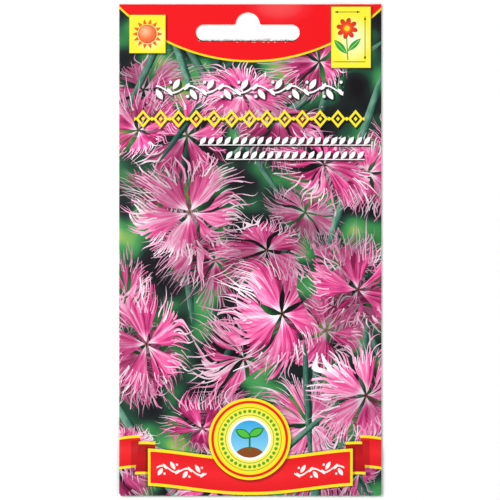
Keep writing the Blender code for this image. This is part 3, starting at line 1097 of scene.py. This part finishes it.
def ribbon(x, y, sheet):
    """The outer ends, then the dark turned parts, then the main band with its shadow, and its twigs."""
    side = abs(x)
    bow = y - x * x * 0.0052 + x * x * x * x * 2.4e-6
    outer, turned, main = bow + 64.2, bow + 66.2, bow + 69.0
    sheet = band(sheet, side > OUTER_START, outer, 4.9, ("F0262B", "E01A20"))
    on_turn = both(side > TURN_START, side < TURN_END - (turned + 5.0) * 0.12)
    turn_shadow = both(abs(turned) < 5.4, side > TURN_START, side < TURN_END + 1.2)
    sheet = darken(sheet, 1.0 - turn_shadow * 0.35)
    sheet = band(sheet, on_turn, turned, 5.0, ("C4141A", "A80E14"))
    main_shadow = both(abs(main) < RIBBON_HALF + 0.4, side < RIBBON_END + 0.8)
    sheet = darken(sheet, 1.0 - main_shadow * 0.45)
    sheet = band(sheet, side < RIBBON_END, main, RIBBON_HALF, ("F3262C", "E51A20"))
    hem = both(abs(main) < RIBBON_HALF, side > RIBBON_END - 0.75, side < RIBBON_END)
    sheet = lay(sheet, hem, ink(RIBBON_YELLOW))
    twigs = both(vine(side - 2.0, main, 3.8, 1.0), side > 13.4, side < 28.6)
    return lay(sheet, twigs, ink("FFF6F0"))


print(f"ribbon {2 * RIBBON_END:.1f} x {2 * RIBBON_HALF:.1f} mm")

# %% [markdown]
# The round badge covers the ribbon's middle: yellow rim, red ring, a ring of beads and a seedling on pale
# blue. Each ring is a test on the distance from the badge's middle, and they are laid from the largest to
# the smallest, so each leaves only a rim of the one before.

# %% Badge
BADGE = (-0.2, -57.6)
RIM, RED_RING, YELLOW_RING, WHITE_DISC, SKY = 12.5, 11.7, 10.9, 6.5, 5.7
BEADS, BEAD_RING, BEAD = 36, 8.5, 0.52
BEAD_LINES = 1.15


def beads(u, v, r):
    """A ring of round beads with a fine line inside and outside it."""
    cell, _ = repeated(u.math("ARCTAN2", u, v), 2 * math.pi / BEADS)
    bead = radius(cell * BEAD_RING, r - BEAD_RING) < BEAD
    return either(bead, abs(r - (BEAD_RING - BEAD_LINES)) < 0.10, abs(r - (BEAD_RING + BEAD_LINES)) < 0.10)


def seedling(place, x, y, sheet):
    """A stem with two leaves that are paler inside, on a heap of soil."""
    soil = both(disc(place, x, y - 5.6, 4.6, 3.2), disc(place, x, y, SKY - 0.05))
    sheet = lay(sheet, soil, ink("8A4A1E"))
    stem = box(place, x, y - 1.1, 0.28, 2.4)
    blades = ((-1.95, 1.6, -28), (1.95, 2.0, 28))
    green = [pointed(place, x + right, y + up, 2.7, 1.35, turn) for right, up, turn in blades]
    paler = [pointed(place, x + right, y + up + 0.06, 2.2, 0.95, turn) for right, up, turn in blades]
    sheet = lay(sheet, either(stem, either(*green)), ink("1E7A2C"))
    return lay(sheet, either(*paler), ink("52C23E"))


def badge(place, x, y, sheet):
    u, v = framed(place, x, y)
    r = radius(u, v)
    sheet = darken(sheet, radius(*framed(place, x + 0.4, y - 0.4)).ramp(RIM - 0.2, RIM + 0.8, 0.45, 1.0))
    sheet = lay(sheet, r < RIM, ink("FFE51C"))
    sheet = lay(sheet, r < RED_RING, ink("E4241C"))
    sheet = lay(sheet, r < YELLOW_RING, along(r * 0.1, (0.5, "FFF67A"), (1.0, "FDE52A")))
    sheet = lay(sheet, beads(u, v, r), ink("4FA832"))
    sheet = lay(sheet, r < WHITE_DISC, ink("FFFFFF"))
    sheet = lay(sheet, r < SKY, along(v * 0.09 + 0.5, (0.0, "8FD8F2"), (1.0, "36A9E2")))
    return seedling(place, x, y, sheet)


print(f"badge {2 * RIM:.0f} mm across, with {BEADS} beads")

# %% [markdown]
# A punch that has cut many packets leaves a ragged lower edge in the slot. Along it the ink breaks off in
# white flecks of wear, and the very edge gets a dark line of painted shade, where its torn wall lies in
# shadow. Both follow the slot's own outline, round its lower corners too, and fade out up its ends. Along
# the folds and the cut edges the ink is rubbed off in specks.

# %% Wear


def worn_slot_and_painted_shade(place, x, y, sheet):
    """White flecks of wear and a dark line of painted shade along the slot's lower edge and lower corners."""
    rough = noise(place, 1.6, 2.0)
    corner = SLOT_HEIGHT / MM / 2
    past_end = abs(x - SLOT_SHIFT / MM) - SLOT_STRAIGHT / MM
    rise = y - SLOT_LOW / MM - corner
    depth = radius(past_end.math("MAXIMUM", past_end, 0.0), rise) - corner
    wear_and_shade_reach = rise.ramp(-2.3, -1.2, 1.0, 0.0)
    sheet = lay(sheet, depth < (rough * 1.9 - 0.66) * wear_and_shade_reach, ink("F6D9D2"))
    # Painted shade: the dark line along the slot's lower edge, where the torn edge's wall lies in shadow.
    return lay(sheet, depth < (rough * 0.45 + 0.12) * wear_and_shade_reach, ink("451F22"))


def rubbed(place, x, y):
    """1 where the ink is rubbed off near the packet's outline."""
    inset = x.math("MINIMUM", WIDTH / MM / 2 - abs(x), HEIGHT / MM / 2 - abs(y))
    return noise(place, 1.9, 3.0) > inset.ramp(0.0, 0.35, 0.66, 0.95)


print("wear: torn slot edge and rubbed outline")

# %% [markdown]
# The front's layers are now put down in order. Coated paper has a soft gloss, and its fibres show only as a
# faint unevenness in the gloss and the surface, so the same fine noise feeds the roughness and a slight
# bump.

# %% Front print


def upper_inks(place):
    x, y, _ = place.split()
    sheet = header(place, (BLACK, None, None))
    sheet = worn_slot_and_painted_shade(place, x, y, sheet)
    sheet = corner_panels(place, sheet)
    return ornament_rows(x, y, sheet)


def lower_inks(place):
    x, y, _ = place.split()
    sheet = ribbon(x, y, (BLACK, None, None))
    return badge(place, *BADGE, sheet)


def bump(shader, height, strength, distance):
    """Raises the surface by a height that changes over it."""
    made = height.node("Bump", Height=height, Strength=strength, Distance=distance)
    height.tree.links.new(made.outputs[0], shader.inputs["Normal"])


def flat_place(millimetres):
    x, y, _ = millimetres.split()
    return spot(x, y, 1.0), x, y


front_print, front_shader, millimetres = new_finish("front_print")
place, x, y = flat_place(millimetres)
sheets = [grouped("upper_inks", upper_inks, place), grouped("lower_inks", lower_inks, place)]
colour = bed(place)
for ink_colour, cover, light in sheets:
    colour = over(cover, ink_colour, dimmed(colour, light))
colour = over(rubbed(place, x, y), ink("F2ECE4"), colour)
grain = noise(place, 2.6, 2.0)
feed(front_shader, Base_Color=colour, Roughness=grain.between(0.34, 0.46))
front_shader.inputs["Specular IOR Level"].default_value = 0.24
bump(front_shader, grain, 0.10, 0.05 * MM)
print("front print: coated paper")

# %% [markdown]
# ## The back
# The photograph doesn't show the back, so it gets a plain design that any seed packet could have: the
# header's red arc again, three round pictures for sun, water and flower, a bar of twelve months in two
# rows, and a ruled panel for notes. It is uncoated, so its ink is duller. From behind, x runs the other
# way, so the months run with -x.

# %% Round pictures
LEAF_GREEN, PANEL_WHITE, CREAM = "3C8A3A", "FFFDF6", "F6EFDD"
PICTURE, PICTURE_RIM = 5.6, 6.2


def picture_disc(place, x, y, code, sheet):
    r = radius(*framed(place, x, y))
    sheet = lay(sheet, r < PICTURE_RIM, ink(LEAF_GREEN))
    return lay(sheet, r < PICTURE, along(r * 0.18, (0.0, "FFFFFF"), (1.0, code)))


def drops(place, x, y):
    """Three drops of water: each a disc with a point on top."""
    masks = []
    for dx, dy, size in ((-2.0, 0.6, 1.0), (1.9, 1.3, 0.9), (0.3, -2.2, 1.15)):
        u, v = framed(place, x + dx, y + dy, size, size)
        cone = both(abs(u) < (2.2 - v) * 0.55, v > 0.5, v < 2.2)
        masks.append(either(square(u, v) < 1.0, cone))
    return either(*masks)


print(f"round pictures are {2 * PICTURE_RIM:.1f} mm across")

# %% Months and notes
MONTH, MONTH_ROW, BAR_Y = 5.4, 5.0, 8.0
BAR_HALF = 6 * MONTH
NOTES_DOWN, NOTES_HALF_WIDTH, NOTES_HALF_HEIGHT, NOTES_RULE = 25.0, 32.5, 21.0, 4.2


def months(x, y, sheet):
    """Twelve cells in two rows, with the sowing and the flowering months filled."""
    count = (BAR_HALF - x) / MONTH
    month = count.math("FLOOR", count)
    edge, _ = repeated(x + BAR_HALF, MONTH)
    bar = both(abs(x) < BAR_HALF + 0.1, abs(y - BAR_Y) < MONTH_ROW + 0.1)
    sheet = lay(sheet, bar, ink(PANEL_WHITE))
    sow = both(bar, month > 2.5, month < 5.5, y > BAR_Y)
    bloom = both(bar, month > 5.5, month < 9.5, y < BAR_Y)
    sheet = lay(sheet, sow, ink("6CB445"))
    sheet = lay(sheet, bloom, ink("E25E9C"))
    rules = either(abs(edge) < 0.11, abs(y - BAR_Y) < 0.11, abs(abs(y - BAR_Y) - MONTH_ROW) < 0.13)
    return lay(sheet, both(bar, rules), ink(LEAF_GREEN))


def notes(place, x, y, sheet):
    """A white panel with a green outline and fine rules."""
    depth = box_depth(place, 0.0, -NOTES_DOWN, NOTES_HALF_WIDTH, NOTES_HALF_HEIGHT)
    sheet = lay(sheet, depth < 1.0, ink(LEAF_GREEN))
    sheet = lay(sheet, depth < 0.985, ink(PANEL_WHITE))
    rule, _ = repeated(y - 0.2, NOTES_RULE)
    inside = (abs(x) < NOTES_HALF_WIDTH - 3.0, abs(y + NOTES_DOWN) < NOTES_HALF_HEIGHT - 3.0)
    return lay(sheet, both(abs(rule) < 0.09, *inside), ink("A9C7A0"))


print(f"months bar {2 * BAR_HALF:.1f} mm wide, rules every {NOTES_RULE} mm")

# %% Back print
PICTURES_Y, PICTURE_STEP = 27.0, 22.0
FOOT_LINE, FOOT_VINE_DOWN, FOOT_PITCH = -52.0, 57.0, 5.2
SHRUNK = 1.7


def back_inks(place):
    x, y, _ = place.split()
    speck = noise(place, 0.9, 2.0)
    cream = along(speck, (0.3, "EFE6CF"), (0.7, CREAM))
    sheet = header(place, (cream, None, None))
    sheet = picture_disc(place, PICTURE_STEP, PICTURES_Y, "FFF3A6", sheet)
    sheet = sun(place, PICTURE_STEP, PICTURES_Y, sheet)
    sheet = picture_disc(place, 0.0, PICTURES_Y, "CDEBF8", sheet)
    sheet = lay(sheet, drops(place, 0.0, PICTURES_Y), ink("2E8FD0"))
    sheet = picture_disc(place, -PICTURE_STEP, PICTURES_Y, "F9DCE9", sheet)
    smaller = spot(x * SHRUNK, y * SHRUNK, 1.0)
    sheet = small_flower(smaller, -PICTURE_STEP * SHRUNK, (PICTURES_Y + 1.6) * SHRUNK, sheet)
    sheet = months(x, y, sheet)
    sheet = notes(place, x, y, sheet)
    sheet = lay(sheet, y < FOOT_LINE, ink(LEAF_GREEN))
    foot_vine = both(vine(x, y + FOOT_VINE_DOWN, FOOT_PITCH, 1.0), abs(x) < 6 * FOOT_PITCH)
    sheet = lay(sheet, foot_vine, ink(CREAM))
    return lay(sheet, rubbed(place, x, y), ink("F4EFE6"))[0]


back_print, back_shader, millimetres = new_finish("back_print")
place, x, y = flat_place(millimetres)
(colour,) = grouped("back_inks", back_inks, place)
grain = noise(place, 2.2, 3.0)
feed(back_shader, Base_Color=colour, Roughness=grain.between(0.50, 0.66))
back_shader.inputs["Specular IOR Level"].default_value = 0.30
bump(back_shader, grain, 0.18, 0.06 * MM)
print("back print: uncoated paper")

# %% [markdown]
# ## Bare paper
# Inside the folds and on the cut edges the paper is bare. Paper is felted fibre, so noise that is stretched
# along one way gives short fibres, and the same noise lifts them a little.

# %% Bare paper
bare_paper, bare_shader, place = new_finish("bare_paper")
stretched = place.vector("MULTIPLY", place, (0.6, 3.2, 3.2))
fibre = noise(stretched, 1.4, 4.0)
paper_colour = along(fibre, (0.25, "E6E1D5"), (0.5, "F3F0E8"), (0.75, "FBFAF5"))
feed(bare_shader, Base_Color=paper_colour, Roughness=fibre.between(0.7, 0.9))
bump(bare_shader, fibre, 0.35, 0.08 * MM)

for index, finish in enumerate((front_print, back_print, bare_paper, bare_paper)):
    paper.data.materials[index] = finish
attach(paper, "root")
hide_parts("envelope")
print("folded paper wears", [finish.name for finish in paper.data.materials])

# %% [markdown]
# ## Torn fibres in the slot
# Where the punch tore the paper, fibres stand out of the lower edge into the slot, and one scrap of paper
# still hangs on. Each fibre is a thin sliver that leans over and narrows, made as a small closed strip. The
# scrap is five wider slivers that lean together, one over the other, so their tops are ragged.

# %% One strip


def strip(points, faces, foot, lean, length, half_width, low, high, steps, tip):
    """A closed strip that starts at foot, leans over and narrows to the share tip of its width."""
    first = len(points)
    for i in range(steps + 1):
        share = i / steps
        x = foot[0] + lean * share * share * length
        y = foot[1] + length * share
        half = half_width * (1 - share * (1 - tip))
        points += [(x - half, y, low), (x + half, y, low), (x + half, y, high), (x - half, y, high)]
    for i in range(steps):
        ring, after = first + 4 * i, first + 4 * i + 4
        faces += [(ring + k, ring + (k + 1) % 4, after + (k + 1) % 4, after + k) for k in range(4)]
    faces += [(first + 3, first + 2, first + 1, first), tuple(first + 4 * steps + k for k in range(4))]


print("a strip of 4 steps has 18 faces")

# %% Torn fibres and scrap
FIBRES = 150
SLIVERS = ((2.7, 0.5, 1.3), (3.2, 0.65, 1.5), (3.7, 0.85, 1.6), (4.2, 1.0, 1.6), (4.8, 1.15, 1.3))


def fibre_data():
    draw = random.Random(12)
    points, faces = [], []
    level = front_level(0.0, SLOT_LOW)
    for _ in range(FIBRES):
        x = SLOT_SHIFT + draw.uniform(-SLOT_STRAIGHT, SLOT_STRAIGHT)
        low = level + draw.uniform(-0.06, 0.0) * MM
        length = draw.uniform(0.30, 0.65) * MM
        lean = draw.uniform(-1.2, 1.2)
        half_width = draw.uniform(0.05, 0.10) * MM
        foot = (x, SLOT_LOW - 0.22 * MM)
        strip(points, faces, foot, lean, length, half_width, low, low + 0.03 * MM, 4, 0.3)
    return points, faces


def scrap_data():
    """Slivers from their (x, length, lean), each a little above the last."""
    points, faces = [], []
    level = front_level(0.0, SLOT_LOW) - 0.04 * MM
    for i, (x, length, lean) in enumerate(SLIVERS):
        low = level + i * 0.02 * MM
        foot = (x * MM, SLOT_LOW - 0.25 * MM)
        strip(points, faces, foot, lean, length * MM, 0.30 * MM, low, low + 0.015 * MM, 6, 0.5)
    return points, faces


fibres = new_object("torn_fibres", *fibre_data())
scrap = new_object("torn_scrap", *scrap_data())
# The fibres are near black as painted shade: they darken the slot's lower edge, where it lies in shadow.
for piece, dark, pale in ((fibres, "251514", "8D7873"), (scrap, "8C7F7C", "F1E9E2")):
    finish, shader, place = new_finish(piece.name)
    fluff = noise(place, 5.0, 2.0)
    feed(shader, Base_Color=along(fluff, (0.3, dark), (0.6, pale)), Roughness=fluff.between(0.75, 0.95))
    piece.data.materials.append(finish)
    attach(piece, "root")
    print(f"{piece.name}: {len(piece.data.polygons)} faces")

# %% [markdown]
# ## Glue and seeds
# The solids of the glue lines and the seeds are already right, so they keep their shapes and only get
# finishes. Dried glue is a milky film with streaks from the roller. Seeds of pinks are black-brown with a
# fine, wrinkled coat. Both are shut in by the paper, yet they are finished in case someone opens the
# packet.

# %% Glue and seeds
dried_glue, glue_shader, place = new_finish("dried_glue")
streaks = noise(place.vector("MULTIPLY", place, (0.4, 2.5, 1.0)), 1.2, 2.0)
glue_colour = along(streaks, (0.3, "E2DCC4"), (0.7, "F5F1E2"))
feed(glue_shader, Base_Color=glue_colour, Roughness=streaks.between(0.22, 0.47))
bump(glue_shader, streaks, 0.3, 0.1 * MM)

seed_coat, seed_shader, place = new_finish("seed_coat")
wrinkle = noise(place, 4.5, 3.0)
coat_colour = along(wrinkle, (0.3, "120C0A"), (0.55, "2A1B15"), (0.75, "4A3226"))
feed(seed_shader, Base_Color=coat_colour, Roughness=wrinkle.between(0.45, 0.75))
bump(seed_shader, wrinkle, 0.6, 0.15 * MM)

for name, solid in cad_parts.items():
    finish = dried_glue if name.endswith("glue") else seed_coat if name.startswith("seeds") else None
    if finish:
        for slot in solid.material_slots:
            slot.material = finish
print("glue and seeds are finished")

# %% [markdown]
# ## Floor, light and camera
# The photograph is a flat scan on white: an even light with a slight lead from the upper left, which leaves
# a thin shadow along the right and lower edges. So one smaller lamp leads and three broad ones fill in from
# the other sides, all low enough that the coated paper doesn't mirror them. The camera looks straight down
# through a long lens, which keeps the packet's sides square.

# %% Floor
FLOOR_HALF, FLOOR_DROP = 1.5, 0.05 * MM
corners = [(-FLOOR_HALF, -FLOOR_HALF, 0), (FLOOR_HALF, -FLOOR_HALF, 0), (FLOOR_HALF, FLOOR_HALF, 0)]
floor = new_object("floor", [*corners, (-FLOOR_HALF, FLOOR_HALF, 0)], [(0, 1, 2, 3)])
floor.location.z = -FLOOR_DROP
pale_floor, floor_shader, _ = new_finish("pale_floor")
floor_shader.inputs["Base Color"].default_value = (0.95, 0.95, 0.95, 1.0)
floor_shader.inputs["Roughness"].default_value = 0.9
floor.data.materials.append(pale_floor)
print(f"floor {2 * FLOOR_HALF:.0f} m wide, {FLOOR_DROP / MM:.2f} mm under the packet")

# %% Light


def area_light(name, where, size, watts):
    """A round lamp that faces the packet."""
    light = bpy.data.lights.new(name, "AREA")
    light.shape = "DISK"
    light.size = size
    light.energy = watts
    lamp = bpy.data.objects.new(name, light)
    bpy.context.scene.collection.objects.link(lamp)
    lamp.location = where
    lamp.rotation_euler = Vector(where).to_track_quat("Z", "Y").to_euler()


LAMPS = (
    ("key", (-0.75, 0.62, 1.10), 0.65, 14.5), ("fill_right", (1.05, 0.5, 0.85), 1.2, 7.5),
    ("fill_front", (0.3, -1.15, 0.85), 1.2, 7.5), ("fill_left", (-1.05, -0.5, 0.85), 1.2, 6.0),
)
for lamp in LAMPS:
    area_light(*lamp)
world = bpy.data.worlds.new("studio")
world.use_nodes = True
background = world.node_tree.nodes["Background"]
background.inputs["Color"].default_value = (1.0, 1.0, 1.0, 1.0)
background.inputs["Strength"].default_value = 0.10
bpy.context.scene.world = world
bpy.context.scene.view_settings.view_transform = "Standard"
print(f"{len(LAMPS)} lamps, {sum(watts for *_, watts in LAMPS):.1f} W in all")

# %% Camera
SEEN_WIDTH, SIDE_SHIFT = 152.65 * MM, -0.1 * MM
camera_data = bpy.data.cameras.new("camera")
camera_data.sensor_width = 36.0
camera_data.lens = 200.0
camera_data.clip_end = 20.0
camera = bpy.data.objects.new("camera", camera_data)
bpy.context.scene.collection.objects.link(camera)
camera.location = (SIDE_SHIFT, 0.0, SEEN_WIDTH * camera_data.lens / camera_data.sensor_width)
bpy.context.scene.camera = camera
print(f"camera {camera.location.z:.2f} m above the packet")

# %% [markdown]
# ## Finish
